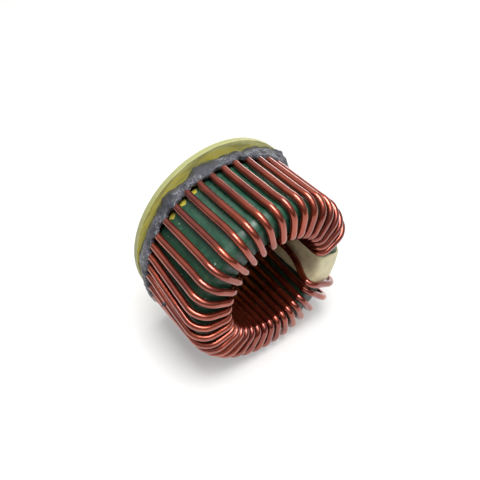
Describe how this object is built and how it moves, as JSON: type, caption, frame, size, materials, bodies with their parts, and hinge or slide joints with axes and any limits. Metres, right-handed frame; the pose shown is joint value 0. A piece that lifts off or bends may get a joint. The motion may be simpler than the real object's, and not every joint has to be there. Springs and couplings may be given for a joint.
{
  "type": "toroidal inductor",
  "caption": "Through-hole toroidal power inductor: a rounded ring core wound with enamelled copper wire, bonded with resin to a thin round board, with a tape wrap in the winding's gap.",
  "frame": {"origin": "centre of the round board's underside, the face that seats on a circuit board", "axes": "+Z along the ring's axis, from the board towards the open end of the ring; +X from the board's centre towards the tape wrap, where the winding is left open"},
  "size_m": [0.0563, 0.0577, 0.0365],
  "materials": {
    "core_paint": "glossy green coating, with a yellow bottom face",
    "enamelled_wire": "glossy brown-red enamel on copper, tinned lead ends",
    "tape": "varnished woven tape, cream",
    "board": "satin glass-fibre laminate, pale yellow",
    "resin": "glossy grey potting resin, hand laid"
  },
  "bodies": {
    "root": {"core": "core_paint", "winding": "enamelled_wire", "tape_band": "tape", "base_disc": "board", "resin_ring": "resin"}
  },
  "joints": []
}
